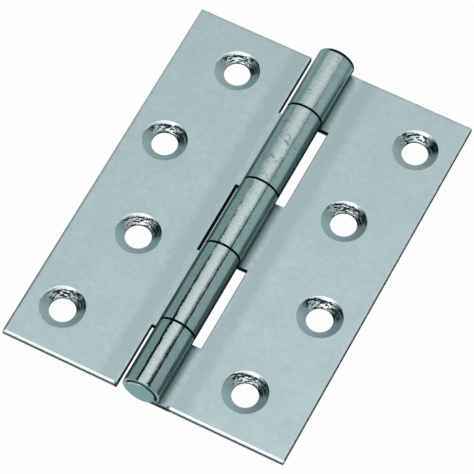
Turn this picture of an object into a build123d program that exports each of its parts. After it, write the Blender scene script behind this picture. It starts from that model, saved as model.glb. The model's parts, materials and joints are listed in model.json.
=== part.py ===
from build123d import *
from math import asin, degrees
import os

# Butt hinge of rolled steel sheet, lying open and flat with its countersunk faces up.
# X runs across the two leaves, Y along the pin, and Z is measured from the backs of the leaves.

# Leaves
leaf_length = 100.0
leaf_width = 36.5  # from the pin's centre line to the outer edge
sheet_thickness = 1.9
edge_break = 0.25  # left by blanking and tumbling, and carried round the knuckles' rims

# Knuckles
end_knuckle_length = 17.4
centre_knuckle_length = 19.5
knuckle_gap = 0.3  # between the ends of neighbouring knuckles
notch_clearance = 1.75  # between the barrel and the edge of a notch
seam_gap = 0.3  # between a knuckle's free end and the face of its own leaf

# Pin
pin_diameter = 5.6
pin_clearance = 0.05  # all round, in the knuckles' bores
head_overhang = 0.9  # beyond the bore, all round
head_height = 0.8
head_rounding = 0.35

# Screw holes
holes_per_leaf = 4
hole_diameter = 6.4
countersink_diameter = 11.1
countersink_land = 0.35  # straight wall left under the cone
hole_end_margin = 11.9  # from the end of the leaf to its first hole
hole_side_margin = 9.4  # from the leaf's outer edge to the outer row
hole_row_spacing = 6.4  # from the outer row to the inner row

# The bore follows the pin, and the sheet rolled round it gives the barrel.
bore_radius = pin_diameter / 2 + pin_clearance
barrel_radius = bore_radius + sheet_thickness
axis_height = barrel_radius
notch_edge = barrel_radius + notch_clearance
head_radius = bore_radius + head_overhang

# A roll starts under the pin, goes round its far side and over it, and stops above its own leaf.
free_end_drop = bore_radius - seam_gap
free_end_angle = -degrees(asin(free_end_drop / barrel_radius))
under_the_pin = 270.0
roll_angle = under_the_pin - free_end_angle

# The two long knuckles share what the other three leave of the length.
long_knuckle_length = (leaf_length - 2 * end_knuckle_length - centre_knuckle_length) / 2
knuckle_lengths = [
    end_knuckle_length,
    long_knuckle_length,
    centre_knuckle_length,
    long_knuckle_length,
    end_knuckle_length,
]

# Holes stand in two rows and take turns between them along the leaf.
hole_pitch = (leaf_length - 2 * hole_end_margin) / (holes_per_leaf - 1)
outer_row = leaf_width - hole_side_margin
inner_row = outer_row - hole_row_spacing


def knuckle_spans():
    """Start and end of each knuckle along the pin, with the gaps taken off the inner ends."""
    spans = []
    start = -leaf_length / 2
    for place, length in enumerate(knuckle_lengths):
        gap_before = knuckle_gap / 2 if place > 0 else 0
        gap_after = knuckle_gap / 2 if place < len(knuckle_lengths) - 1 else 0
        spans.append((start + gap_before, start + length - gap_after))
        start += length
    return spans


def rolled_knuckle(start, end):
    """One tongue of sheet, from the notch's edge to its free end, rolled round the pin."""
    centre = (0, axis_height)
    outside = CenterArc(centre, barrel_radius, free_end_angle, roll_angle)
    inside = CenterArc(centre, bore_radius, free_end_angle, roll_angle)
    back = Line(outside @ 1, (notch_edge, 0))
    root = Line(back @ 1, (notch_edge, sheet_thickness))
    face = Line(root @ 1, inside @ 1)
    free_end = Line(inside @ 0, outside @ 0)
    section = make_face([outside, back, root, face, inside, free_end])
    return extrude(Plane.XZ.offset(-end) * section, end - start)


def screw_hole():
    """Cutter for one hole: a short straight wall at the back, opening in a cone to the face."""
    wall = Cylinder(
        hole_diameter / 2, sheet_thickness, align=(Align.CENTER, Align.CENTER, Align.MIN)
    )
    cone = Cone(
        hole_diameter / 2,
        countersink_diameter / 2,
        sheet_thickness - countersink_land,
        align=(Align.CENTER, Align.CENTER, Align.MIN),
    )
    return wall + Pos(0, 0, countersink_land) * cone


def sheet_edges(plate):
    """The outlines of the leaf's face and back, apart from the lines where they run into a roll."""
    broad_faces = plate.faces().filter_by(Axis.Z)
    outlines = ShapeList(edge for face in broad_faces for edge in face.outer_wire().edges())
    return outlines.filter_by(lambda edge: edge.center().X > notch_edge / 4)


def leaf(spans, first_row, second_row):
    """A leaf to the right of the pin: flat plate, tongues rolled into knuckles, screw holes."""
    plate = Pos(notch_edge, 0, 0) * Box(
        leaf_width - notch_edge,
        leaf_length,
        sheet_thickness,
        align=(Align.MIN, Align.CENTER, Align.MIN),
    )
    for start, end in spans:
        plate += rolled_knuckle(start, end)
    plate = chamfer(sheet_edges(plate), min(edge_break, sheet_thickness / 4))

    rows = [first_row, second_row]
    for place in range(holes_per_leaf):
        along = hole_end_margin - leaf_length / 2 + place * hole_pitch
        plate -= Pos(rows[place % len(rows)], along, 0) * screw_hole()
    return plate


def pin():
    """Plain rod with a flat formed head at each end, seated on the outermost knuckles."""
    seat = leaf_length / 2
    half_length = seat + head_height
    outline = Polyline(
        (0, -half_length),
        (head_radius, -half_length),
        (head_radius, -seat),
        (pin_diameter / 2, -seat),
        (pin_diameter / 2, seat),
        (head_radius, seat),
        (head_radius, half_length),
        (0, half_length),
        close=True,
    )
    rod = revolve(make_face(outline), Axis.Y)
    edges_along_pin = rod.edges().group_by(Axis.Y)
    end_rims = edges_along_pin[0] + edges_along_pin[-1]
    return Pos(0, 0, axis_height) * fillet(end_rims, min(head_rounding, head_height / 2))


spans = knuckle_spans()
nodes = {
    "three_knuckle_leaf": leaf(spans[0::2], inner_row, outer_row),
    "two_knuckle_leaf": mirror(leaf(spans[1::2], outer_row, inner_row), Plane.YZ),
    "hinge_pin": pin(),
}

os.makedirs("parts", exist_ok=True)
for name, solid in nodes.items():
    export_step(solid, f"parts/{name}.step")
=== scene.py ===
import json
from math import asin, atan2, cos, hypot, pi, radians, sin

import bmesh
import bpy
from bpy.props import FloatProperty, FloatVectorProperty, PointerProperty
from mathutils import Matrix, Vector, noise


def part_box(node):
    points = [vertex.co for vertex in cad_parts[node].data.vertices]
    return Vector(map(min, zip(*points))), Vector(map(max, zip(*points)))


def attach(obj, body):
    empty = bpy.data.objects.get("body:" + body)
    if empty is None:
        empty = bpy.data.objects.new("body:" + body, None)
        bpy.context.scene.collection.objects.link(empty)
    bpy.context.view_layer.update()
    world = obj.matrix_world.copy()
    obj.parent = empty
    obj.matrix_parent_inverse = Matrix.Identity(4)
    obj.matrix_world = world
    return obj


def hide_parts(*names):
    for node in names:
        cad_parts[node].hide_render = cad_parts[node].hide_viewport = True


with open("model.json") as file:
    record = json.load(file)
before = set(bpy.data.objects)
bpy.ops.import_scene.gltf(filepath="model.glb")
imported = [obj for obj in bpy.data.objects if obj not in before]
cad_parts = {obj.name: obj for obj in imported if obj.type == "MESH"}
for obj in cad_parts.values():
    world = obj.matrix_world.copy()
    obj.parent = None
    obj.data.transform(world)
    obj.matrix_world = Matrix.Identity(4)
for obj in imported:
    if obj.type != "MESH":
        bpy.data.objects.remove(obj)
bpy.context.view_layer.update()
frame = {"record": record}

bl_info = {
    "name": "Butt hinge",
    "version": (1, 0, 0),
    "blender": (4, 5, 0),
    "location": "3D View > Sidebar > Hinge",
    "description": "Models a zinc plated butt hinge of rolled sheet around its packed solids",
    "category": "Add Mesh",
}

MM = 0.001
SAME = 1e-6  # metres, under which two places are the same
LEAF_LOW, LEAF_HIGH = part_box("three_knuckle_leaf")
PIN_LOW, PIN_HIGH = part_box("hinge_pin")
JOINT = frame["record"]["behaviour"]["joints"][0]
SCREWS = [mount for mount in frame["record"]["mounts"] if mount["kind"] == "bolt_pattern"]
RIGHT = 1
LEFT = -1


def linear(hex_colour):
    """An sRGB hex value as the linear colour that shaders and lamps take."""
    channels = [int(hex_colour[place:place + 2], 16) / 255 for place in (1, 3, 5)]
    return [c / 12.92 if c <= 0.04045 else ((c + 0.055) / 1.055) ** 2.4 for c in channels]


def opaque(colour):
    """A colour with the fourth channel that a socket takes."""
    return (*colour, 1.0)


def length(name, description, default):
    """A size that a user may change, in metres."""
    return FloatProperty(name=name, description=description, default=default, precision=5, unit="LENGTH")


def tint(name, description, hex_colour):
    """A colour that a user may change."""
    return FloatVectorProperty(
        name=name, description=description, default=linear(hex_colour),
        size=3, min=0, max=1, subtype="COLOR",
    )


def angle(name, description, default):
    """An angle that a user may change, given here in degrees."""
    return FloatProperty(name=name, description=description, default=radians(default), subtype="ANGLE")


class HingeSizes(bpy.types.PropertyGroup):
    """Sizes of the leaves, the knuckles, the screw holes and the pin."""

    leaf_length: length("Leaf length", "Along the pin", LEAF_HIGH[1] - LEAF_LOW[1])
    leaf_width: length("Leaf width", "From the pin's centre line to the outer edge", LEAF_HIGH[0])
    sheet_thickness: length("Sheet", "Thickness of the steel sheet", 1.9 * MM)
    edge_break: length("Edge break", "Rounding left by blanking and tumbling", 0.3 * MM)
    die_roll_width: length("Die roll", "Slope that blanking leaves along the face's outline", 0.8 * MM)
    die_roll_depth: length("Die roll depth", "Drop of the face at its outline", 0.12 * MM)
    near_slope_width: length("Near slope", "Slope filed along the face's near end", 0.6 * MM)
    near_slope_depth: length("Near slope depth", "Drop of the face at its near end", 0.32 * MM)
    axis_height: length("Pin height", "Pin's centre line above the backs of the leaves", JOINT["pos_m"][2])
    end_knuckle: length("End knuckle", "Length of the first and last knuckle", 17.4 * MM)
    centre_knuckle: length("Centre knuckle", "Length of the middle knuckle", 19.5 * MM)
    knuckle_gap: length("Knuckle gap", "Between the ends of neighbouring knuckles", 0.3 * MM)
    end_rounding: length("End rounding", "Rounding of the barrel's two ends", 0.45 * MM)
    shear_drag: length("Shear drag", "Steel dragged out at the foot of the middle notch", 0.4 * MM)
    end_bulge: length("End bulge", "How far rolling pushed the barrel's ends past the leaf's", 0.42 * MM)
    notch_edge: length("Notch edge", "From the pin's centre line to the edge of a notch", 6.5 * MM)
    free_end_drop: length("Free end", "From the pin's centre line down to a roll's free end", 2.55 * MM)
    hole_radius: length("Hole radius", "Straight wall of a screw hole", SCREWS[0]["dims"]["hole_r_mm"] * MM)
    countersink_radius: length("Countersink", "Radius of a countersink at the face", 5.55 * MM)
    countersink_land: length("Land", "Straight wall left under the cone", 0.35 * MM)
    pin_radius: length("Pin radius", "Radius of the rod", 2.8 * MM)
    head_radius: length("Head radius", "Radius of the pin's formed heads", PIN_HIGH[0])
    head_rounding: length("Head rounding", "Rounding of the heads' rims", 0.3 * MM)
    pin_length: length("Pin length", "Over both heads", PIN_HIGH[1] - PIN_LOW[1])


class HingeFinish(bpy.types.PropertyGroup):
    """Colours of the plated steel, by how each surface was worked; some of them also carry painted shade
    and painted glints.
    """

    sheet: tint("Sheet", "Zinc over cold rolled sheet", "#ADC2C4")
    cloud: tint("Cloud", "Paler clouds in the zinc", "#B4C7C9")
    # Painted shade in the band beside the knuckles; the darkest grains also go towards this colour
    grain_and_band_shade: tint("Pressed", "Band beside the knuckles, dulled by the press", "#A0B6B8")
    rolled: tint("Rolled", "Zinc burnished by the rolling tool", "#BDCCCE")
    smeared: tint("Smeared", "Duller grains in the burnished zinc", "#A8BBBD")
    # Also a painted highlight: the glint on the pin head's upper left, and in part the countersinks' bright
    # lips
    bare_and_glint: tint("Bare", "Steel wiped bright by a tool's edge", "#F0F6F6")
    # Also painted shade: the darkest shade on the knuckles, by the seams and on the barrel's rims, the edge
    # walls by the barrel, and the holes' straight walls
    fracture_and_shade: tint("Fracture", "Steel that broke or tore, where plating hardly holds", "#081F22")
    # Painted shade on the knuckles' flanks and on the pin head's lower rim; also the colour of the ticks
    # and pits
    painted_shade_and_marks: tint("Grime", "Dark film left low on the knuckles, where no cloth reaches", "#45605F")
    head: tint("Pin head", "Zinc over a formed head", "#9CBBBF")


class HingeStage(bpy.types.PropertyGroup):
    """Camera, studio light and floor."""

    azimuth: angle("Azimuth", "Turn of the camera round the hinge", 25.856)
    elevation: angle("Elevation", "Camera's height above the horizon", 60.853)
    roll: angle("Roll", "Turn of the camera about its own axis", 1.657)
    reach: length("Range", "From the aim point to the camera", 0.8206)
    aim: FloatVectorProperty(
        name="Aim", description="Point at the middle of the picture", default=(0.00031, -0.00274, 0.0019),
        precision=5, subtype="XYZ", unit="LENGTH",
    )
    lens: FloatProperty(name="Lens", description="Focal length on a 36 mm sensor", default=265.1)
    floor_drop: length("Floor drop", "Floor below the backs, clear of a leaf folded back", 34 * MM)


def sizes():
    """The sizes as they are set now."""
    return bpy.context.scene.hinge_sizes


def finish_colours():
    """The colours as they are set now."""
    return bpy.context.scene.hinge_finish


def stage_settings():
    """The camera and stage as they are set now."""
    return bpy.context.scene.hinge_stage


def add(tree, kind, inputs=None, **settings):
    """Adds a node, sets it up, feeds its inputs with values or outputs, and gives its own outputs."""
    node = tree.nodes.new(kind)
    for name, value in settings.items():
        setattr(node, name, value)
    for name, value in (inputs or {}).items():
        if isinstance(value, bpy.types.NodeSocket):
            tree.links.new(value, node.inputs[name])
        else:
            node.inputs[name].default_value = value
    return node.outputs


def new_material(name):
    """An empty material and its node tree."""
    material = bpy.data.materials.new(name)
    material.use_nodes = True
    material.node_tree.nodes.clear()
    return material, material.node_tree


# Sockets of the Mix node when it mixes colours
MIX_A, MIX_B, MIX_RESULT = 6, 7, 2
# Painted deep shade and torn steel give no glint of their own
MATT = {"Specular IOR Level": 0.0}

# Flat sheet. The zinc's real grain is finer than a pixel, so it is drawn coarser.
CLOUDS = {"Scale": 1 / (9 * MM), "Detail": 4.0}
SHEET_GRAIN = {"Scale": 1 / (1.4 * MM), "Detail": 3.0, "Roughness": 0.65}
CLOUD_SPREAD = {"From Min": 0.35, "From Max": 0.65}
GRAIN_SPREAD = {"From Min": 0.3, "From Max": 0.7}
GRAIN_SHADE = {**GRAIN_SPREAD, "To Max": 0.5}
GRAIN_ROUGHNESS = {**GRAIN_SPREAD, "To Min": 0.16, "To Max": 0.22}
GRAIN_RELIEF = {"Strength": 0.10, "Distance": 0.05 * MM}
CLOUD_RELIEF = {"Distance": 0.05 * MM}
# Places of the band of painted shade beside the knuckles, and of the rougher zinc there, from the pin's
# centre line
SHADE_BAND_START = {"From Min": 6.4 * MM, "From Max": 8.4 * MM}
SHADE_BAND_END = {"From Min": 9.0 * MM, "From Max": 13.0 * MM, "To Min": 1.0, "To Max": 0.0}
PRESSED_ROUGHNESS = {"From Min": 5.5 * MM, "From Max": 8.0 * MM, "To Min": 0.14, "To Max": 0.0}


def zinc_plated_sheet():
    """Bright zinc on cold rolled steel: a soft mirror with faint clouds and grain, rougher by the knuckles
    and with a band of painted shade beside them.
    """
    colours = finish_colours()
    material, tree = new_material("zinc_plated_cold_rolled_sheet")
    place = add(tree, "ShaderNodeTexCoord")["Object"]
    clouds = add(tree, "ShaderNodeTexNoise", {"Vector": place, **CLOUDS})[0]
    grains = add(tree, "ShaderNodeTexNoise", {"Vector": place, **SHEET_GRAIN})[0]
    veil = add(tree, "ShaderNodeMapRange", {"Value": clouds, **CLOUD_SPREAD})[0]
    colour = add(
        tree, "ShaderNodeMix",
        {0: veil, MIX_A: opaque(colours.sheet), MIX_B: opaque(colours.cloud)}, data_type="RGBA",
    )[MIX_RESULT]
    grain_shade = add(tree, "ShaderNodeMapRange", {"Value": grains, **GRAIN_SHADE})[0]
    across = add(tree, "ShaderNodeSeparateXYZ", {0: place})["X"]
    across = add(tree, "ShaderNodeMath", {0: across}, operation="ABSOLUTE")[0]
    # Painted shade in a band beside the knuckles, added to the darkest grains
    inner, outer = [
        add(tree, "ShaderNodeMapRange", {"Value": across, **ends}, interpolation_type="SMOOTHSTEP")[0]
        for ends in (SHADE_BAND_START, SHADE_BAND_END)
    ]
    band = add(tree, "ShaderNodeMath", {0: inner, 1: outer, 2: grain_shade}, operation="MULTIPLY_ADD")[0]
    colour = add(
        tree, "ShaderNodeMix", {0: band, MIX_A: colour, MIX_B: opaque(colours.grain_and_band_shade)}, data_type="RGBA",
    )[MIX_RESULT]
    rough = add(tree, "ShaderNodeMapRange", {"Value": grains, **GRAIN_ROUGHNESS})[0]
    dulled = add(tree, "ShaderNodeMapRange", {"Value": across, **PRESSED_ROUGHNESS})[0]
    rough = add(tree, "ShaderNodeMath", {0: rough, 1: dulled})[0]
    bump = add(tree, "ShaderNodeBump", {"Height": grains, **GRAIN_RELIEF})[0]
    bump = add(tree, "ShaderNodeBump", {"Height": clouds, "Normal": bump, **CLOUD_RELIEF})[0]
    shader = add(
        tree, "ShaderNodeBsdfPrincipled",
        {"Base Color": colour, "Metallic": 1.0, "Roughness": rough, "Normal": bump},
    )[0]
    add(tree, "ShaderNodeOutputMaterial", {"Surface": shader})
    return material


# Rolled knuckles. Places are along the pin from the middle of the hinge.
KNUCKLE_GRAIN = {"Scale": 1 / (0.5 * MM), "Detail": 3.0}
KNUCKLE_WAVES = {"Scale": 1 / (4 * MM), "Detail": 1.0}
SMEAR_SPREAD = {"From Min": 0.35, "From Max": 0.65}
NEAR_ROUGHNESS = {"From Min": -36 * MM, "From Max": 6 * MM, "To Min": 0.07, "To Max": 0.12}
FAR_KNUCKLES = {"From Min": 9 * MM, "From Max": 10 * MM}
FAR_ROUGHNESS = 0.06  # more than the near knuckles have
LAST_KNUCKLE = {"From Min": 31 * MM, "From Max": 34 * MM}
LAST_ROUGHNESS = 0.02  # more than the other far one has
TICK_STRETCH = (0.5, 2.6, 0.5)  # ticks run across the pin
TICKS = {"Scale": 1 / (0.9 * MM), "Detail": 1.0}
TICK_SPREAD = {"From Min": 0.60, "From Max": 0.66}
TICK_SHADE = 0.78
SCUFFS = {"Scale": 1 / (5 * MM)}
SCUFF_SPREAD = {"From Min": 0.52, "From Max": 0.62}
LAST_SPARED = 2 / 3  # share of the ticks that the last knuckle lacks
PITS = {"Scale": 1 / (5 * MM)}
PIT_SPREAD = {"From Min": 0.07, "From Max": 0.04, "To Max": 0.7}
FAR_RIM_SHADE = {"From Min": 49.45 * MM, "From Max": 49.55 * MM}
RIGHT_RIM_SHADE = {"From Min": -2.6 * MM, "From Max": -1.6 * MM, "To Max": 0.99}  # across the pin
KNUCKLE_GRAIN_RELIEF = {"Strength": 0.18, "Distance": 0.05 * MM}
WAVE_RELIEF = {"Distance": 0.06 * MM}
MARK_RELIEF = {"Distance": -0.06 * MM}
RIDGE_RELIEF = {"Distance": 0.16 * MM}


def burnished_knuckle():
    """Zinc on steel drawn round a mandrel: a wavy mirror, scuffed at the far end, with painted shade on its
    flanks, in its crevices and on its rims.
    """
    colours = finish_colours()
    material, tree = new_material("zinc_plated_rolled_knuckle")
    place = add(tree, "ShaderNodeTexCoord")["Object"]
    grains = add(tree, "ShaderNodeTexNoise", {"Vector": place, **KNUCKLE_GRAIN})[0]
    waves = add(tree, "ShaderNodeTexNoise", {"Vector": place, **KNUCKLE_WAVES})[0]
    smear = add(tree, "ShaderNodeMapRange", {"Value": grains, **SMEAR_SPREAD})[0]
    colour = add(
        tree, "ShaderNodeMix",
        {0: smear, MIX_A: opaque(colours.rolled), MIX_B: opaque(colours.smeared)}, data_type="RGBA",
    )[MIX_RESULT]
    spot = add(tree, "ShaderNodeSeparateXYZ", {0: place})
    along = spot["Y"]
    rough, far, last = [
        add(tree, "ShaderNodeMapRange", {"Value": along, **ends})[0]
        for ends in (NEAR_ROUGHNESS, FAR_KNUCKLES, LAST_KNUCKLE)
    ]
    for share, more in ((far, FAR_ROUGHNESS), (last, LAST_ROUGHNESS)):
        rough = add(tree, "ShaderNodeMath", {0: share, 1: more, 2: rough}, operation="MULTIPLY_ADD")[0]
    # Painted shade from the leaf: soft on the flanks (X), deep in the crevices and round the near head (Y);
    # Z is a raised ridge
    painted_shade_and_marks = add(tree, "ShaderNodeAttribute", attribute_name="painted_shade_and_marks")["Vector"]
    painted_shade_and_marks = add(tree, "ShaderNodeSeparateXYZ", {0: painted_shade_and_marks})
    colour = add(
        tree, "ShaderNodeMix",
        {0: painted_shade_and_marks["X"], MIX_A: colour, MIX_B: opaque(colours.painted_shade_and_marks)}, data_type="RGBA",
    )[MIX_RESULT]
    # Ticks across the far knuckles, and the odd pit on all of them
    ticks = add(tree, "ShaderNodeMapping", {"Vector": place, "Scale": TICK_STRETCH})[0]
    ticks = add(tree, "ShaderNodeTexNoise", {"Vector": ticks, **TICKS})[0]
    ticks = add(tree, "ShaderNodeMapRange", {"Value": ticks, **TICK_SPREAD})[0]
    scuffed = add(tree, "ShaderNodeTexNoise", {"Vector": place, **SCUFFS})[0]
    scuffed = add(tree, "ShaderNodeMapRange", {"Value": scuffed, **SCUFF_SPREAD})[0]
    handled = add(tree, "ShaderNodeMath", {0: last, 1: -LAST_SPARED, 2: far}, operation="MULTIPLY_ADD")[0]
    scuffed = add(tree, "ShaderNodeMath", {0: scuffed, 1: handled}, operation="MULTIPLY")[0]
    ticks = add(tree, "ShaderNodeMath", {0: ticks, 1: scuffed}, operation="MULTIPLY")[0]
    pits = add(tree, "ShaderNodeTexVoronoi", {"Vector": place, **PITS})["Distance"]
    pits = add(tree, "ShaderNodeMapRange", {"Value": pits, **PIT_SPREAD})[0]
    marks = add(
        tree, "ShaderNodeMath", {0: ticks, 1: TICK_SHADE, 2: pits}, operation="MULTIPLY_ADD", use_clamp=True
    )[0]
    colour = add(
        tree, "ShaderNodeMix", {0: marks, MIX_A: colour, MIX_B: opaque(colours.painted_shade_and_marks)}, data_type="RGBA",
    )[MIX_RESULT]
    # Painted deep shade low on the knuckles, in their crevices and over the right of the barrel's far rim
    far_rim_shade = add(tree, "ShaderNodeMapRange", {"Value": along, **FAR_RIM_SHADE})[0]
    right_rim_shade = add(tree, "ShaderNodeMapRange", {"Value": spot["X"], **RIGHT_RIM_SHADE})[0]
    painted_deep_shade = add(tree, "ShaderNodeMath", {0: far_rim_shade, 1: right_rim_shade}, operation="MULTIPLY")[0]
    painted_deep_shade = add(tree, "ShaderNodeMath", {0: painted_deep_shade, 1: painted_shade_and_marks["Y"]}, operation="MAXIMUM")[0]
    colour = add(
        tree, "ShaderNodeMix", {0: painted_deep_shade, MIX_A: colour, MIX_B: opaque(colours.fracture_and_shade)}, data_type="RGBA",
    )[MIX_RESULT]
    metal = add(tree, "ShaderNodeMath", {0: 1.0, 1: painted_deep_shade}, operation="SUBTRACT")[0]
    bump = add(tree, "ShaderNodeBump", {"Height": grains, **KNUCKLE_GRAIN_RELIEF})[0]
    for height, relief in ((waves, WAVE_RELIEF), (marks, MARK_RELIEF), (painted_shade_and_marks["Z"], RIDGE_RELIEF)):
        bump = add(tree, "ShaderNodeBump", {"Height": height, "Normal": bump, **relief})[0]
    shader = add(
        tree, "ShaderNodeBsdfPrincipled",
        {"Base Color": colour, "Metallic": metal, "Roughness": rough, "Normal": bump, **MATT},
    )[0]
    add(tree, "ShaderNodeOutputMaterial", {"Surface": shader})
    return material


# Blanked edges. Heights are from the sheet's back.
EDGE_STRETCH = (1, 1, 0.15)
EDGE_GRAIN = {"Scale": 1 / (0.35 * MM), "Detail": 2.0}
EDGE_RELIEF = {"Strength": 0.35, "Distance": 0.1 * MM}
EDGE_ROUGHNESS = {"To Min": 0.5, "To Max": 0.25}
RAGGED = 0.3 * MM  # how far the grain moves the ends of the land and the burr
# Along the pin to a height: the land reaches lower at the near end
LAND_FOOT = {"From Min": -49.6 * MM, "From Max": -49 * MM, "To Min": 1.5 * MM, "To Max": 1.85 * MM}
LAND_FADE = {"From Max": 0.1 * MM}
BURR = {"From Min": 0.85 * MM, "From Max": 0.75 * MM}
# Across the pin, and up: the walls of the notches and the ends of the knuckles stay dark, as painted shade
# where they sit by the barrel
CLEAR_OF_BARREL = {"From Min": 6.8 * MM, "From Max": 7.4 * MM, "To Min": 0.2}
ON_SHEET = {"From Min": 2.1 * MM, "From Max": 2.0 * MM}


def sheared_edge():
    """Sheet steel cut by a blanking tool: a bright land on top, a dark fractured zone and a bright burr
    below, with walls by the barrel kept dark as painted shade.
    """
    colours = finish_colours()
    material, tree = new_material("blanked_sheet_edge")
    place = add(tree, "ShaderNodeTexCoord")["Object"]
    stretch = add(tree, "ShaderNodeMapping", {"Vector": place, "Scale": EDGE_STRETCH})[0]
    grain = add(tree, "ShaderNodeTexNoise", {"Vector": stretch, **EDGE_GRAIN})[0]
    spot = add(tree, "ShaderNodeSeparateXYZ", {0: place})
    ragged = add(tree, "ShaderNodeMath", {0: grain, 1: RAGGED, 2: spot["Z"]}, operation="MULTIPLY_ADD")[0]
    land_foot = add(tree, "ShaderNodeMapRange", {"Value": spot["Y"], **LAND_FOOT})[0]
    above_foot = add(tree, "ShaderNodeMath", {0: ragged, 1: land_foot}, operation="SUBTRACT")[0]
    land = add(tree, "ShaderNodeMapRange", {"Value": above_foot, **LAND_FADE})[0]
    burr = add(tree, "ShaderNodeMapRange", {"Value": ragged, **BURR})[0]
    bright = add(tree, "ShaderNodeMath", {0: land, 1: burr}, operation="MAXIMUM")[0]
    # Painted shade: walls near the barrel and up in the roll keep no bright land or burr
    across = add(tree, "ShaderNodeMath", {0: spot["X"]}, operation="ABSOLUTE")[0]
    for where, ends in ((across, CLEAR_OF_BARREL), (spot["Z"], ON_SHEET)):
        kept = add(tree, "ShaderNodeMapRange", {"Value": where, **ends})[0]
        bright = add(tree, "ShaderNodeMath", {0: bright, 1: kept}, operation="MULTIPLY")[0]
    colour = add(
        tree, "ShaderNodeMix",
        {0: bright, MIX_A: opaque(colours.fracture_and_shade), MIX_B: opaque(colours.bare_and_glint)}, data_type="RGBA",
    )[MIX_RESULT]
    rough = add(tree, "ShaderNodeMapRange", {"Value": bright, **EDGE_ROUGHNESS})[0]
    bump = add(tree, "ShaderNodeBump", {"Height": grain, **EDGE_RELIEF})[0]
    shader = add(
        tree, "ShaderNodeBsdfPrincipled",
        {"Base Color": colour, "Metallic": bright, "Roughness": rough, "Normal": bump, **MATT},
    )[0]
    add(tree, "ShaderNodeOutputMaterial", {"Surface": shader})
    return material


# Countersinks
CONE_GRAIN = {"Scale": 1 / (0.4 * MM), "Detail": 2.0}
CONE_RELIEF = {"Strength": 0.15, "Distance": 0.05 * MM}
CONE_ROUGHNESS = {"To Min": 0.48, "To Max": 0.25}


def torn_countersink():
    """Steel cut by a dull countersink: plated and smooth, with a bright lip that is partly a painted
    highlight, black chattered tears, and a straight wall in painted shadow.
    """
    colours = finish_colours()
    material, tree = new_material("torn_countersink_steel")
    wear = add(tree, "ShaderNodeAttribute", attribute_name="wear_and_painted_light")["Vector"]
    wear = add(tree, "ShaderNodeSeparateXYZ", {0: wear})
    place = add(tree, "ShaderNodeTexCoord")["Object"]
    grains = add(tree, "ShaderNodeTexNoise", {"Vector": place, **CONE_GRAIN})[0]
    # The lip's brightness is partly a painted highlight; the wall under the cone is darkened as painted
    # shadow
    colour = add(
        tree, "ShaderNodeMix",
        {0: wear["X"], MIX_A: opaque(colours.sheet), MIX_B: opaque(colours.bare_and_glint)}, data_type="RGBA",
    )[MIX_RESULT]
    colour = add(
        tree, "ShaderNodeMix",
        {0: wear["Y"], MIX_A: colour, MIX_B: opaque(colours.fracture_and_shade)}, data_type="RGBA",
    )[MIX_RESULT]
    metal = add(tree, "ShaderNodeMath", {0: 1.0, 1: wear["Y"]}, operation="SUBTRACT")[0]
    rough = add(tree, "ShaderNodeMapRange", {"Value": wear["X"], **CONE_ROUGHNESS})[0]
    bump = add(tree, "ShaderNodeBump", {"Height": grains, **CONE_RELIEF})[0]
    shader = add(
        tree, "ShaderNodeBsdfPrincipled",
        {"Base Color": colour, "Metallic": metal, "Roughness": rough, "Normal": bump, **MATT},
    )[0]
    add(tree, "ShaderNodeOutputMaterial", {"Surface": shader})
    return material


# Pin heads. Heights and places are from the pin's centre line.
HEAD_GRAIN = {"Scale": 1 / (0.6 * MM), "Detail": 2.0}
HEAD_RELIEF = {"Strength": 0.1, "Distance": 0.05 * MM}
HEAD_ROUGHNESS = {**GRAIN_SPREAD, "To Min": 0.28, "To Max": 0.38}
RIM_WIDTH, RIM_CREST = 0.3 * MM, 0.1 * MM  # in from the head's edge
# Painted shade on the rim's lower part, and a painted glint on its upper left
LOW_RIM_SHADE = {"From Min": 1.5 * MM, "From Max": -0.5 * MM, "To Max": 0.8}
GLINT_ABOVE = {"From Min": 1.6 * MM, "From Max": 2.0 * MM}
GLINT_LEFT = {"From Min": 0.3 * MM, "From Max": -0.2 * MM}
RADIAL = (1, 0, 1)  # keeps what lies across the pin


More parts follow.
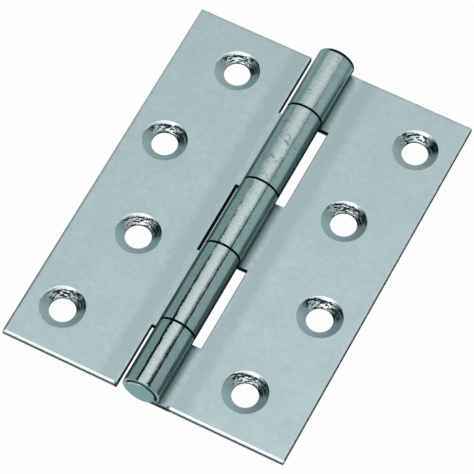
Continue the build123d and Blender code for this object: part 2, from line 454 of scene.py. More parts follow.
def formed_pin_head():
    """Zinc on a head pressed flat: even and finely grained, with painted shade on the rim below and a
    painted glint on the rim above, to the left.
    """
    colours = finish_colours()
    given = sizes()
    material, tree = new_material("zinc_plated_formed_head")
    place = add(tree, "ShaderNodeTexCoord")["Object"]
    grains = add(tree, "ShaderNodeTexNoise", {"Vector": place, **HEAD_GRAIN})[0]
    rough = add(tree, "ShaderNodeMapRange", {"Value": grains, **HEAD_ROUGHNESS})[0]
    bump = add(tree, "ShaderNodeBump", {"Height": grains, **HEAD_RELIEF})[0]
    from_axis = add(
        tree, "ShaderNodeVectorMath", {0: place, 1: (0, 0, -given.axis_height)}, operation="ADD"
    )["Vector"]
    from_axis = add(tree, "ShaderNodeVectorMath", {0: from_axis, 1: RADIAL}, operation="MULTIPLY")["Vector"]
    radius = add(tree, "ShaderNodeVectorMath", {0: from_axis}, operation="LENGTH")["Value"]
    spot = add(tree, "ShaderNodeSeparateXYZ", {0: from_axis})
    rim_start, rim_end = given.head_radius - RIM_WIDTH, given.head_radius - RIM_CREST
    rim = add(tree, "ShaderNodeMapRange", {"Value": radius, "From Min": rim_start, "From Max": rim_end})[0]
    # Painted shade on the rim's lower part
    low = add(tree, "ShaderNodeMapRange", {"Value": spot["Z"], **LOW_RIM_SHADE})[0]
    painted_shade = add(tree, "ShaderNodeMath", {0: rim, 1: low}, operation="MULTIPLY")[0]
    colour = add(
        tree, "ShaderNodeMix",
        {0: painted_shade, MIX_A: opaque(colours.head), MIX_B: opaque(colours.painted_shade_and_marks)}, data_type="RGBA",
    )[MIX_RESULT]
    # Painted glint on the rim's upper left
    painted_glint = rim
    for where, ends in ((spot["Z"], GLINT_ABOVE), (spot["X"], GLINT_LEFT)):
        kept = add(tree, "ShaderNodeMapRange", {"Value": where, **ends})[0]
        painted_glint = add(tree, "ShaderNodeMath", {0: painted_glint, 1: kept}, operation="MULTIPLY")[0]
    colour = add(
        tree, "ShaderNodeMix", {0: painted_glint, MIX_A: colour, MIX_B: opaque(colours.bare_and_glint)}, data_type="RGBA",
    )[MIX_RESULT]
    shader = add(
        tree, "ShaderNodeBsdfPrincipled",
        {"Base Color": colour, "Metallic": 1.0, "Roughness": rough, "Normal": bump},
    )[0]
    add(tree, "ShaderNodeOutputMaterial", {"Surface": shader})
    return material


def pick(kind, test):
    """In edit mode, selects only the vertices, edges or faces that pass the test."""
    bpy.ops.mesh.select_mode(type=kind)
    bpy.ops.mesh.select_all(action="DESELECT")
    mesh = bpy.context.object.data
    shape = bmesh.from_edit_mesh(mesh)
    parts = {"VERT": shape.verts, "EDGE": shape.edges, "FACE": shape.faces}[kind]
    for part in parts:
        if test(part):
            part.select_set(True)
    shape.select_flush_mode()
    bmesh.update_edit_mesh(mesh)


def cut(point, normal):
    """In edit mode, bisects everything along a plane."""
    bpy.ops.mesh.select_all(action="SELECT")
    bpy.ops.mesh.bisect(plane_co=point, plane_no=normal)


def work_into(piece, kind, **settings):
    """Adds a modifier to the piece and applies it."""
    modifier = piece.modifiers.new(kind.lower(), kind)
    for name, value in settings.items():
        setattr(modifier, name, value)
    bpy.ops.object.modifier_apply(modifier=modifier.name)


ROLL_STEPS = 96
FROM_UNDER = 1.5 * pi  # from under the pin, round its far side and over it, to its own leaf's side
PIN_SIDES = 72
HOLE_SIDES = 180
CONE_RINGS = 24
ROUNDING_STEPS = 4
SHARP_OVER = radians(40)  # edges that tumbling breaks
ON_BARREL = 0.03 * MM  # from the barrel's outside, under which a point lies on it
WALL_TILT = 0.3  # a wall's normal rises less than this
TOP_TILT = 0.9  # a level face's normal rises more than this


def knuckle_spans():
    """Start and end of the five knuckles along the pin, from the near end to the far one."""
    given = sizes()
    long_knuckle = (given.leaf_length - 2 * given.end_knuckle - given.centre_knuckle) / 2
    lengths = [given.end_knuckle, long_knuckle, given.centre_knuckle, long_knuckle, given.end_knuckle]
    spans = []
    start = -given.leaf_length / 2
    for order, knuckle in enumerate(lengths):
        gap_before = given.knuckle_gap / 2 if order > 0 else 0
        gap_after = given.knuckle_gap / 2 if order < len(lengths) - 1 else 0
        spans.append((start + gap_before, start + knuckle - gap_after))
        start += knuckle
    return spans


def screw_centres(side):
    """Centres of the screw holes in the leaf on that side of the pin."""
    centres = []
    for mount in SCREWS:
        across, along, _ = mount["pos_m"]
        half_spacing = mount["dims"]["spacing_y_mm"] * MM / 2
        if across * side > 0:
            centres += [(across, along - half_spacing), (across, along + half_spacing)]
    return centres


def flat_blank(name, side, spans):
    """The sheet before rolling: a plate with a tongue for each knuckle. Left in edit mode."""
    given = sizes()
    bpy.ops.object.select_all(action="DESELECT")
    bpy.ops.mesh.primitive_plane_add(size=1, location=(side * given.leaf_width / 2, 0, 0))
    blank = bpy.context.object
    blank.name = name
    blank.scale = (given.leaf_width, given.leaf_length, 1)
    bpy.ops.object.transform_apply(location=True, rotation=True, scale=True)

    bpy.ops.object.mode_set(mode="EDIT")
    ends = [place for span in spans for place in span if abs(place) < given.leaf_length / 2 - SAME]
    near_slope = given.near_slope_width - given.leaf_length / 2
    far_slope = given.leaf_length / 2 - given.die_roll_width
    for place in ends + [near_slope, far_slope]:
        cut((0, place, 0), (0, 1, 0))
    roll_lines = [given.notch_edge + given.die_roll_width, given.leaf_width - given.die_roll_width]
    for place in [given.notch_edge] + roll_lines:
        cut((side * place, 0, 0), (1, 0, 0))

    def in_notch(face):
        middle = face.calc_center_median()
        in_tongue = any(start < middle.y < end for start, end in spans)
        return abs(middle.x) < given.notch_edge and not in_tongue

    pick("FACE", in_notch)
    bpy.ops.mesh.delete(type="FACE")
    return blank


def roll_knuckles(blank, side):
    """Spins the tongues' ends round the pin, then gives the sheet its thickness and broken edges."""
    given = sizes()
    barrel_radius = given.axis_height
    roll = FROM_UNDER + asin(given.free_end_drop / barrel_radius)
    pick("EDGE", lambda edge: all(abs(corner.co.x) < SAME for corner in edge.verts))
    bpy.ops.mesh.spin(
        steps=ROLL_STEPS, angle=-side * roll, center=(0, 0, given.axis_height), axis=(0, 1, 0)
    )
    bpy.ops.mesh.select_all(action="SELECT")
    bpy.ops.mesh.remove_doubles(threshold=SAME)
    bpy.ops.mesh.normals_make_consistent(inside=False)
    plate = max(bmesh.from_edit_mesh(blank.data).faces, key=lambda face: face.calc_area())
    if plate.normal.z < 0:
        bpy.ops.mesh.flip_normals()
    bpy.ops.object.mode_set(mode="OBJECT")
    work_into(blank, "SOLIDIFY", thickness=given.sheet_thickness, offset=1, use_even_offset=True)

    def on_face_outline(corner):
        walls = [face for face in corner.link_faces if abs(face.normal.z) < WALL_TILT]
        on_face = abs(corner.co.z - given.sheet_thickness) < SAME
        return on_face and walls and corner.co.x * side > given.notch_edge - SAME

    def at_middle_notch_foot(corner):
        on_edge = abs(corner.co.x - side * given.notch_edge) < SAME and corner.co.z < SAME
        return on_edge and abs(corner.co.y) < given.centre_knuckle

    def in_end_ring(corner, end):
        radius = hypot(corner.co.x, corner.co.z - given.axis_height)
        at_end = corner.co.y * end > given.leaf_length / 2 - SAME
        return at_end and radius < barrel_radius + SAME and corner.co.z > given.sheet_thickness + SAME

    def on_barrel_end(corner):
        radius = hypot(corner.co.x, corner.co.z - given.axis_height)
        at_end = abs(corner.co.y) > given.leaf_length / 2 - SAME
        return at_end and abs(radius - barrel_radius) < ON_BARREL

    def on_near_outline(corner):
        return corner.co.y < SAME - given.leaf_length / 2 and on_face_outline(corner)

    bpy.ops.object.mode_set(mode="EDIT")
    pick("VERT", on_near_outline)
    bpy.ops.transform.translate(value=(0, 0, -given.near_slope_depth))
    pick("VERT", on_face_outline)
    bpy.ops.transform.translate(value=(0, 0, -given.die_roll_depth))
    if side == LEFT:
        pick("VERT", at_middle_notch_foot)
        bpy.ops.transform.translate(value=(given.shear_drag, 0, 0))
    else:
        for end in (-1, 1):
            pick("VERT", lambda corner: in_end_ring(corner, end))
            bpy.ops.transform.translate(
                value=(0, end * given.end_bulge, 0), use_proportional_edit=True,
                proportional_edit_falloff="SMOOTH", proportional_size=given.sheet_thickness,
            )
        pick("EDGE", lambda edge: all(on_barrel_end(corner) for corner in edge.verts))
        bpy.ops.mesh.bevel(offset=given.end_rounding, segments=ROUNDING_STEPS, affect="EDGES")
    bpy.ops.object.mode_set(mode="OBJECT")
    work_into(
        blank, "BEVEL", width=given.edge_break, segments=ROUNDING_STEPS, limit_method="ANGLE",
        angle_limit=SHARP_OVER, use_clamp_overlap=True,
    )


# Where a countersink has wear, tears or painted shadow: middle, reach and fade round the hole, from +X
# towards +Y
# Bright lips, set on the side where the light glints: part wear, part painted highlight
LIPS = {
    LEFT: (radians(116), radians(18), radians(48)),
    RIGHT: (radians(90), radians(16), radians(46)),
}
TORN = (radians(100), radians(55), radians(20))
BLACK = (radians(38), radians(12), radians(22))
# Painted shadow on the straight wall under the cone
LAND_SHADOW = (radians(100), radians(70), radians(40))
# Shares of the cone's width
LIP_SHARE = 0.32  # that the lip covers where it is widest
LIP_JAGS = 0.08
LIP_SHADOW = 0.16
ON_RING = 0.01  # under which a point lies on the first or last ring
# Patterns: how many in a whole turn, how many up the cone, and how strong
STREAKS = (28, 11, 1.6)
FINE_STREAKS = (70, 22, 0.8)
CHATTER = (14, 16, 1.6)
JAGS_ROUND = 95.2  # along the lip's edge, in a whole turn
SEED_SPLIT = 1 / 3  # keeps the tears of the two leaves apart
# How deep the steel tore: under the lip, and rising up the cone from its middle
UNDER_LIP = 0.9
CONE_RISE, CONE_MIDDLE = 0.55, 0.45
# How the depth turns to black pits and bare ridges, and the chatter to black: at 0, by rise, and at most
PIT_START, PIT_GAIN, PIT_MOST = 0.3, 4, 0.95
RIDGE_START, RIDGE_GAIN = 0.6, -3.5
CHATTER_START, CHATTER_GAIN = 1.0, 0.8
BLACK_LIP = 0.9  # how far the lip blackens too
TEAR_DEPTH = 0.05 * MM


def hole_cutter(steel):
    """One countersunk hole as a solid at the origin, standing through the sheet, with rings up its cone."""
    given = sizes()
    below = given.sheet_thickness / 2
    depth = below + given.countersink_land
    bpy.ops.object.select_all(action="DESELECT")
    bpy.ops.mesh.primitive_cylinder_add(
        vertices=HOLE_SIDES, radius=given.hole_radius, depth=depth, location=(0, 0, depth / 2 - below)
    )
    cutter = bpy.context.object
    bpy.ops.object.transform_apply(location=True, rotation=True, scale=True)
    bpy.ops.object.mode_set(mode="EDIT")
    pick("FACE", lambda face: face.normal.z > TOP_TILT)
    rise = (given.sheet_thickness - given.countersink_land) / CONE_RINGS
    widening = (given.countersink_radius - given.hole_radius) / CONE_RINGS
    for ring in range(CONE_RINGS):
        flare = 1 + widening / (given.hole_radius + ring * widening)
        bpy.ops.mesh.extrude_region_move(TRANSFORM_OT_translate={"value": (0, 0, rise)})
        bpy.ops.transform.resize(value=(flare, flare, 1), center_override=(0, 0, 0))
    bpy.ops.mesh.extrude_region_move(TRANSFORM_OT_translate={"value": (0, 0, below)})
    bpy.ops.object.mode_set(mode="OBJECT")
    cutter.data.materials.append(steel)
    return cutter


def clamp(value, most=1):
    """The value, kept from 0 to the most that it may be."""
    return min(max(value, 0), most)


def window(turn, centre, reach, fade):
    """1 within reach of a centre on the circle, falling to 0 over the fade beyond it."""
    away = abs((turn - centre + pi) % (2 * pi) - pi)
    return clamp(1 - (away - reach) / fade)


def pattern(turn, share, hole, in_a_turn, up, strength):
    """Smooth noise, with so many grains in a turn round a hole and so many up its cone."""
    return strength * noise.noise(Vector((turn * in_a_turn / (2 * pi), share * up, hole)))


def wear_and_painted_light(turn, share, hole, lip):
    """How much a countersink is wiped bright and how torn it is, at a turn round the hole and a share up
    its cone, with the lip partly a painted highlight and the straight wall in painted shadow.
    """
    streaks = pattern(turn, share, hole, *STREAKS) + pattern(turn, share, hole, *FINE_STREAKS)
    jags = noise.noise(Vector((turn * JAGS_ROUND / (2 * pi), hole, 0)))
    lip_start = 1 - LIP_SHARE * window(turn, *lip) + LIP_JAGS * jags
    torn = window(turn, *TORN)
    black = window(turn, *BLACK)
    if share > lip_start and share > 1 - LIP_SHARE:
        return 1 - BLACK_LIP * black, BLACK_LIP * black
    under_lip = clamp(1 - (lip_start - share) / LIP_SHADOW)
    depth = streaks + UNDER_LIP * under_lip + CONE_RISE * (share - CONE_MIDDLE)
    pits = torn * clamp(PIT_START + PIT_GAIN * depth, PIT_MOST)
    ridges = torn * clamp(RIDGE_START + RIDGE_GAIN * depth)
    chatter = pattern(turn, share, hole, *CHATTER)
    pits = max(pits, black * clamp(CHATTER_START + CHATTER_GAIN * chatter))
    # Painted shadow on the straight wall under the cone
    if share < ON_RING:
        pits = max(pits, window(turn, *LAND_SHADOW))
    return ridges * (1 - black), pits


def cut_screw_holes(leaf, side, steel):
    """Copies one cutter to each screw's place and takes them all out of the leaf."""
    cutter = hole_cutter(steel)
    cutters = []
    for across, along in screw_centres(side):
        copy = bpy.data.objects.new("cutter", cutter.data.copy())
        copy.data.transform(Matrix.Translation((across, along, 0)))
        bpy.context.collection.objects.link(copy)
        cutters.append(copy)
    bpy.ops.object.select_all(action="DESELECT")
    for copy in cutters:
        copy.select_set(True)
    bpy.context.view_layer.objects.active = cutters[0]
    bpy.ops.object.join()
    tool = bpy.context.object

    bpy.ops.object.select_all(action="DESELECT")
    leaf.select_set(True)
    bpy.context.view_layer.objects.active = leaf
    work_into(
        leaf, "BOOLEAN", operation="DIFFERENCE", solver="EXACT", object=tool, material_mode="TRANSFER"
    )
    bpy.data.objects.remove(tool)
    bpy.data.objects.remove(cutter)


def tear_countersinks(leaf, side):
    """Roughens the cones where the tool tore the steel, and notes how wiped bright and how torn each point
    is, with the painted highlight on the lip and painted shadow on the straight wall.
    """
    given = sizes()
    wear = leaf.data.attributes.new("wear_and_painted_light", "FLOAT_VECTOR", "POINT")
    cone_height = given.sheet_thickness - given.countersink_land
    cone_width = given.countersink_radius - given.hole_radius
    slope = atan2(cone_height, cone_width)
    for hole, (across, along) in enumerate(screw_centres(side)):
        for corner, mark in zip(leaf.data.vertices, wear.data):
            x, y = corner.co.x - across, corner.co.y - along
            share = (hypot(x, y) - given.hole_radius) / cone_width
            if not -ON_RING < share < 1 + ON_RING:
                continue
            turn = atan2(y, x)
            bare_and_glint, torn = wear_and_painted_light(turn, share, hole + side * SEED_SPLIT, LIPS[side])
            mark.vector = (bare_and_glint, torn, 0)
            if ON_RING < share < 1 - ON_RING:
                lift = TEAR_DEPTH * (bare_and_glint - torn)
                out = Vector((-sin(slope) * cos(turn), -sin(slope) * sin(turn), cos(slope)))
                corner.co += lift * out


ROLLED, SHEARED = 1, 2  # places in a leaf's list of finishes, after the flat sheet's
# How a face leans once it counts as cut: nearwards and farwards on a roll, and from level on the flat
NEAR_CUT, FAR_CUT = -0.5, 0.1
FLAT_CUT = 0.93

# Where a knuckle's colour is darkened as painted shade: middle, reach and fade round the pin, from the top
# towards +X
LEFT_SHADE = (radians(-90), radians(48), radians(5))
LEFT_DEEP_SHADE = (radians(-90), radians(35), radians(7))
RIGHT_SHADE = (radians(76), radians(16), radians(11))
SHADE_GAP = (radians(78), radians(2), radians(5))  # a line left out of the painted shade
RIDGE = (radians(80), radians(0), radians(4))  # raised steel, beside that line
OPEN_DEEP_SHADE = (radians(98), radians(16), radians(9))  # beside a notch
TUCKED_DEEP_SHADE = (radians(89), radians(3), radians(7))  # over the knuckle's own leaf
SEAM_DEEP_SHADE = (radians(122), radians(5), radians(6))  # by the roll's free end
NEAR_RIM_SHADE = (radians(25), radians(75), radians(25))  # painted shadow round the pin's near head
SHADE_SHARE, DEEP_SHADE_SHARE = 0.68, 0.99
FAR_SHARE = 0.4  # of the left painted shade that is left at the far end
SMOOTH_UNDER = radians(28)  # under the angle between a countersink and the face


def finish_leaf(leaf, side):
    """Gives each face the finish of how it was worked, notes where painted shade darkens the knuckles, and
    smooths the shading.
    """
    given = sizes()
    half_wall = given.axis_height - given.sheet_thickness / 2
    axis = Vector((0, 0, given.axis_height))
    for face in leaf.data.polygons:
        if face.material_index > SHEARED:
            continue
        middle = face.center.copy()
        out = Vector((middle.x, 0, middle.z)) - axis
        in_roll = middle.x * side < 0 or middle.z > given.sheet_thickness + SAME
        if in_roll:
            cut_through = not NEAR_CUT < face.normal.y < FAR_CUT
        else:
            cut_through = abs(face.normal.z) < FLAT_CUT
        if in_roll and abs(middle.y) > given.leaf_length / 2 - SAME:
            face.material_index = ROLLED
        elif cut_through:
            face.material_index = SHEARED
        elif in_roll and out.length > half_wall:
            face.material_index = ROLLED

    # Painted shade: soft on the flanks, deep in the crevices and round the near head, with a raised ridge
    # beside the gap in it
    painted_shade_and_marks = leaf.data.attributes.new("painted_shade_and_marks", "FLOAT_VECTOR", "POINT")
    for corner, mark in zip(leaf.data.vertices, painted_shade_and_marks.data):
        turn = atan2(corner.co.x, corner.co.z - given.axis_height)
        past_end = abs(corner.co.y) - given.leaf_length / 2
        if past_end > SAME:
            on_rim = corner.co.y < 0 and past_end > given.end_bulge - SAME
            mark.vector = (0, DEEP_SHADE_SHARE * window(turn, *NEAR_RIM_SHADE) if on_rim else 0, 0)
            continue
        from_near_end = corner.co.y + given.leaf_length / 2
        thinned = 1 - (1 - FAR_SHARE) * from_near_end / given.leaf_length
        painted_shade = max(thinned * window(turn, *LEFT_SHADE), window(turn, *RIGHT_SHADE))
        if side == RIGHT:
            painted_shade *= 1 - window(turn, *SHADE_GAP)
        held = (TUCKED_DEEP_SHADE, SEAM_DEEP_SHADE) if side == RIGHT else (OPEN_DEEP_SHADE,)
        painted_deep_shade = max(thinned * window(turn, *LEFT_DEEP_SHADE), *(window(turn, *place) for place in held))
        ridge = window(turn, *RIDGE) if side == RIGHT else 0
        mark.vector = (SHADE_SHARE * painted_shade, DEEP_SHADE_SHARE * painted_deep_shade, ridge)
    bpy.ops.object.shade_smooth_by_angle(angle=SMOOTH_UNDER)
    work_into(leaf, "WEIGHTED_NORMAL", mode="FACE_AREA", keep_sharp=True)


class HINGE_OT_leaves(bpy.types.Operator):
    """Models both leaves from flat blanks, rolls their knuckles and cuts their screw holes"""

    bl_idname = "hinge.leaves"
    bl_label = "Leaves"

    def execute(self, context):
        spans = knuckle_spans()
        leaves = [
            ("three_knuckle_leaf", RIGHT, spans[0::2], "fixed_leaf"),
            ("two_knuckle_leaf", LEFT, spans[1::2], "swing_leaf"),
        ]
        finishes = [zinc_plated_sheet(), burnished_knuckle(), sheared_edge()]
        steel = torn_countersink()
        for node, side, own_spans, body in leaves:
            leaf = flat_blank("plated_" + node, side, own_spans)
            roll_knuckles(leaf, side)
            for finish in finishes:
                leaf.data.materials.append(finish)
            cut_screw_holes(leaf, side, steel)
            tear_countersinks(leaf, side)
            finish_leaf(leaf, side)
            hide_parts(node)
            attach(leaf, body)
        return {"FINISHED"}


class HINGE_OT_pin(bpy.types.Operator):
    """Models the pin from a rod, with a flat head formed on each end"""

    bl_idname = "hinge.pin"
    bl_label = "Pin"

    def execute(self, context):
        given = sizes()
        seat = given.leaf_length / 2 + given.end_bulge
        half_length = given.pin_length / 2
        head_height = half_length - seat
        bpy.ops.object.select_all(action="DESELECT")
        bpy.ops.mesh.primitive_cylinder_add(
            vertices=PIN_SIDES, radius=given.pin_radius, depth=2 * seat,
            location=(0, 0, given.axis_height), rotation=(pi / 2, 0, 0),
        )
        pin = bpy.context.object
        pin.name = "plated_hinge_pin"
        bpy.ops.object.transform_apply(location=True, rotation=True, scale=True)
        bpy.ops.object.mode_set(mode="EDIT")
        flare = given.head_radius / given.pin_radius
        for end in (-1, 1):
            pick("FACE", lambda face: face.calc_center_median().y * end > seat - SAME)
            bpy.ops.mesh.extrude_region_move(TRANSFORM_OT_translate={"value": (0, 0, 0)})
            bpy.ops.transform.resize(
                value=(flare, 1, flare), center_override=(0, end * seat, given.axis_height)
            )
            bpy.ops.mesh.extrude_region_move(TRANSFORM_OT_translate={"value": (0, end * head_height, 0)})
            pick(
                "EDGE",
                lambda edge: all(abs(corner.co.y - end * half_length) < SAME for corner in edge.verts),
            )
            bpy.ops.mesh.bevel(offset=given.head_rounding, segments=ROUNDING_STEPS, affect="EDGES")
        bpy.ops.mesh.select_all(action="SELECT")
        bpy.ops.mesh.remove_doubles(threshold=SAME)
        bpy.ops.mesh.normals_make_consistent(inside=False)
        bpy.ops.object.mode_set(mode="OBJECT")
        pin.data.materials.append(formed_pin_head())
        bpy.ops.object.shade_smooth_by_angle(angle=SMOOTH_UNDER)
        work_into(pin, "WEIGHTED_NORMAL", mode="FACE_AREA", keep_sharp=True)
        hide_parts("hinge_pin")
        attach(pin, "fixed_leaf")
        return {"FINISHED"}


PANEL_HEIGHT = 1.5
PANEL_LEFT, PANEL_RIGHT = -0.84, 1.05
PANEL_FRONT, PANEL_BACK = -2.0, 1.7
FLAG_DROP = 0.01  # of the flags below the softbox, and of the softbox below its wing
# Lamps: place, level in front of the lamp, level far from it, and how far off that is
MAIN_LAMP = ((0.2, 0.1), 1.4, 0.85, 1.25)
FRONT_LAMP = ((-0.5, -1.25), 1.9, 0.0, 1.6)
WING_LAMP = ((-1.5, 1.15), 1.2, 0.0, 1.4)
# The softbox's slanted edges: a point, the turn from +X, and how far each sheet runs along and beside it
LEFT_EDGE, LEFT_TURN = (-0.84, 0.73), radians(150.5)
RIGHT_EDGE, RIGHT_TURN = (0.78, 0.68), radians(45.9)
WING_ALONG, WING_BESIDE = (0.0, 1.9), (-1.0, 0.0)
LEFT_FLAG_ALONG, LEFT_FLAG_BESIDE = (-0.05, 0.85), (0.01, 0.2)
RIGHT_FLAG_ALONG, RIGHT_FLAG_BESIDE = (-0.35, 0.15), (-0.3, 0.0)
LEFT_FLAG_WIDTH, LEFT_FLAG_BACK = 0.46, 0.72
RIGHT_FLAG_LEFT, RIGHT_FLAG_RIGHT, RIGHT_FLAG_BACK = 1.03, 1.38, 1.03
# How far from its right edge the softbox starts to dim, to what share, and where that dimming fades out
RIM_FALL, RIM_LEVEL = 0.25, 0.3
RIM_FRONT, RIM_BACK = {"From Min": 0.25, "From Max": 0.05}, {"From Min": 0.77, "From Max": 0.86}
BACKDROP_SIDE = (0.3, 0.95, 0.1)
BACKDROP_SPREAD = {"From Min": 0.6}  # how squarely a ray faces that side when it starts to pale
ROOM, BACKDROP = "#9AB5B1", "#EDF7F5"
PAPER, PAPER_SHOWN, PAPER_MIRRORED = "#F4F4F4", "#FFFFFF", "#CFE4E1"
WHITE_CLOTH, BLACK_CLOTH = "#FFFFFF", "#0A0A0A"
SENSOR_WIDTH = 36  # mm
FLOOR_SIZE = 8.0
FLOOR_SHOWN = 0.97  # share of the floor that shows plain white, and the rest takes shadow
FLOOR_MIRRORED = 0.5  # the same share as metal mirrors it, with more of the shadow left in


def white_floor():
    """Matt white paper: plain white to the eye, a little cooler in the metal, with the shadow left in."""
    material, tree = new_material("matt_white_paper")
    path = add(tree, "ShaderNodeLightPath")
    mirrored = add(
        tree, "ShaderNodeMath", {0: path["Is Glossy Ray"], 1: path["Is Transmission Ray"]},
        operation="MAXIMUM",
    )[0]
    mirrored = add(tree, "ShaderNodeMath", {0: mirrored, 1: FLOOR_MIRRORED}, operation="MULTIPLY")[0]
    share = add(
        tree, "ShaderNodeMath", {0: path["Is Camera Ray"], 1: FLOOR_SHOWN, 2: mirrored},
        operation="MULTIPLY_ADD",
    )[0]
    paper = add(tree, "ShaderNodeBsdfDiffuse", {"Color": opaque(linear(PAPER))})[0]
    colour = add(
        tree, "ShaderNodeMix",
        {
            0: path["Is Camera Ray"],
            MIX_A: opaque(linear(PAPER_MIRRORED)),
            MIX_B: opaque(linear(PAPER_SHOWN)),
        },
        data_type="RGBA",
    )[MIX_RESULT]
    white = add(tree, "ShaderNodeEmission", {"Color": colour, "Strength": 1.0})[0]
    shader = add(tree, "ShaderNodeMixShader", {0: share, 1: paper, 2: white})[0]
    add(tree, "ShaderNodeOutputMaterial", {"Surface": shader})
    return material


def softbox():
    """White cloth over three lamps: brightest in front of each lamp and falling off towards the rim."""
    material, tree = new_material("softbox_cloth")
    place = add(tree, "ShaderNodeTexCoord")["Object"]
    strength = 0.0
    for lamp, near_level, far_level, fall in (MAIN_LAMP, FRONT_LAMP, WING_LAMP):
        away = add(
            tree, "ShaderNodeVectorMath", {0: place, 1: (*lamp, PANEL_HEIGHT)}, operation="DISTANCE"
        )["Value"]
        glow = add(
            tree, "ShaderNodeMapRange",
            {"Value": away, "From Max": fall, "To Min": near_level, "To Max": far_level},
        )[0]
        strength = add(tree, "ShaderNodeMath", {0: strength, 1: glow}, operation="MAXIMUM")[0]
    from_edge = add(
        tree, "ShaderNodeVectorMath", {0: place, 1: (*RIGHT_EDGE, 0)}, operation="SUBTRACT"
    )["Vector"]
    past_edge = add(
        tree, "ShaderNodeVectorMath", {0: from_edge, 1: (sin(RIGHT_TURN), -cos(RIGHT_TURN), 0)},
        operation="DOT_PRODUCT",
    )["Value"]
    dimmed = add(
        tree, "ShaderNodeMapRange",
        {"Value": past_edge, "From Min": -RIM_FALL, "From Max": 0, "To Min": 1, "To Max": RIM_LEVEL},
    )[0]
    along = add(tree, "ShaderNodeSeparateXYZ", {0: place})["Y"]
    for ends in (RIM_FRONT, RIM_BACK):
        undimmed = add(tree, "ShaderNodeMapRange", {"Value": along, **ends})[0]
        dimmed = add(tree, "ShaderNodeMath", {0: dimmed, 1: undimmed}, operation="MAXIMUM")[0]
    strength = add(tree, "ShaderNodeMath", {0: strength, 1: dimmed}, operation="MULTIPLY")[0]
    cloth = add(tree, "ShaderNodeEmission", {"Color": opaque(linear(WHITE_CLOTH)), "Strength": strength})[0]
    add(tree, "ShaderNodeOutputMaterial", {"Surface": cloth})
    return material


def black_flag():
    """Black studio cloth, which gives the barrel its dark lines."""
    material, tree = new_material("black_studio_cloth")
    cloth = add(tree, "ShaderNodeBsdfDiffuse", {"Color": opaque(linear(BLACK_CLOTH))})[0]
    add(tree, "ShaderNodeOutputMaterial", {"Surface": cloth})
    return material


def stage_plane(name, size, location, material, turn=0):
    """A flat sheet of the stage, facing up."""
    bpy.ops.object.select_all(action="DESELECT")
    bpy.ops.mesh.primitive_plane_add(size=1, location=location, rotation=(0, 0, turn))
    plane = bpy.context.object
    plane.name = name
    plane.scale = (*size, 1)
    bpy.ops.object.transform_apply(location=True, rotation=True, scale=True)
    plane.data.materials.append(material)


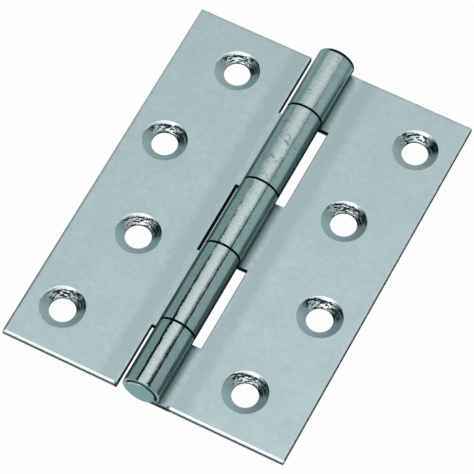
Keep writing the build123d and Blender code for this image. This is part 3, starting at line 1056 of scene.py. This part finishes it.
class HINGE_OT_stage(bpy.types.Operator):
    """Sets up the camera, the overhead panel with its flags, the room's light and the floor"""

    bl_idname = "hinge.stage"
    bl_label = "Stage"

    def execute(self, context):
        given = stage_settings()
        scene = context.scene
        back = Vector((
            sin(given.azimuth) * cos(given.elevation),
            -cos(given.azimuth) * cos(given.elevation),
            sin(given.elevation),
        ))
        level_right = Vector((cos(given.azimuth), sin(given.azimuth), 0))
        level_up = back.cross(level_right)
        right = level_right * cos(given.roll) + level_up * sin(given.roll)
        up = back.cross(right)
        turn = Matrix((right, up, back)).transposed().to_4x4()
        spot = Matrix.Translation(Vector(given.aim) + back * given.reach)
        bpy.ops.object.camera_add()
        camera = context.object
        camera.matrix_world = spot @ turn
        camera.data.lens = given.lens
        camera.data.sensor_width = SENSOR_WIDTH
        scene.camera = camera

        cloth = black_flag()
        glow = softbox()
        flags = PANEL_HEIGHT - FLAG_DROP
        level = [
            ("softbox", PANEL_LEFT, PANEL_RIGHT, PANEL_BACK, PANEL_HEIGHT, glow),
            ("left_flag", PANEL_LEFT - LEFT_FLAG_WIDTH, PANEL_LEFT, LEFT_FLAG_BACK, flags, cloth),
            ("right_flag", RIGHT_FLAG_LEFT, RIGHT_FLAG_RIGHT, RIGHT_FLAG_BACK, flags, cloth),
        ]
        for name, left, right, rear, height, material in level:
            middle = ((left + right) / 2, (PANEL_FRONT + rear) / 2, height)
            stage_plane(name, (right - left, rear - PANEL_FRONT), middle, material)
        above = PANEL_HEIGHT + FLAG_DROP
        slanted = [
            ("softbox_wing", LEFT_EDGE, LEFT_TURN, WING_ALONG, WING_BESIDE, above, glow),
            ("slanted_left_flag", LEFT_EDGE, LEFT_TURN, LEFT_FLAG_ALONG, LEFT_FLAG_BESIDE, flags, cloth),
            (
                "slanted_right_flag", RIGHT_EDGE, RIGHT_TURN,
                RIGHT_FLAG_ALONG, RIGHT_FLAG_BESIDE, flags, cloth,
            ),
        ]
        for name, edge, turn, along, beside, height, material in slanted:
            middle = Vector((sum(along) / 2, sum(beside) / 2, 0))
            middle = Matrix.Rotation(turn, 3, "Z") @ middle + Vector((*edge, height))
            stage_plane(name, (along[1] - along[0], beside[1] - beside[0]), middle, material, turn)
        stage_plane("floor", (FLOOR_SIZE, FLOOR_SIZE), (0, 0, -given.floor_drop), white_floor())

        world = bpy.data.worlds.new("studio_room")
        world.use_nodes = True
        tree = world.node_tree
        tree.nodes.clear()
        toward = add(tree, "ShaderNodeTexCoord")["Generated"]
        facing = add(
            tree, "ShaderNodeVectorMath", {0: toward, 1: BACKDROP_SIDE}, operation="DOT_PRODUCT"
        )["Value"]
        share = add(tree, "ShaderNodeMapRange", {"Value": facing, **BACKDROP_SPREAD})[0]
        colour = add(
            tree, "ShaderNodeMix",
            {0: share, MIX_A: opaque(linear(ROOM)), MIX_B: opaque(linear(BACKDROP))}, data_type="RGBA",
        )[MIX_RESULT]
        room = add(tree, "ShaderNodeBackground", {"Color": colour, "Strength": 1.0})[0]
        add(tree, "ShaderNodeOutputWorld", {"Surface": room})
        scene.world = world
        scene.view_settings.view_transform = "Standard"
        return {"FINISHED"}


class HINGE_PT_sidebar(bpy.types.Panel):
    """Lists the steps that model the hinge"""

    bl_label = "Butt hinge"
    bl_space_type = "VIEW_3D"
    bl_region_type = "UI"
    bl_category = "Hinge"

    def draw(self, context):
        for step in (HINGE_OT_leaves, HINGE_OT_pin, HINGE_OT_stage):
            self.layout.operator(step.bl_idname)


CLASSES = (
    HingeSizes, HingeFinish, HingeStage,
    HINGE_OT_leaves, HINGE_OT_pin, HINGE_OT_stage, HINGE_PT_sidebar,
)


def register():
    for kind in CLASSES:
        bpy.utils.register_class(kind)
    bpy.types.Scene.hinge_sizes = PointerProperty(type=HingeSizes)
    bpy.types.Scene.hinge_finish = PointerProperty(type=HingeFinish)
    bpy.types.Scene.hinge_stage = PointerProperty(type=HingeStage)


def unregister():
    del bpy.types.Scene.hinge_stage
    del bpy.types.Scene.hinge_finish
    del bpy.types.Scene.hinge_sizes
    for kind in reversed(CLASSES):
        bpy.utils.unregister_class(kind)


def main():
    register()
    bpy.ops.hinge.leaves()
    bpy.ops.hinge.pin()
    bpy.ops.hinge.stage()


if __name__ == "__main__":
    main()
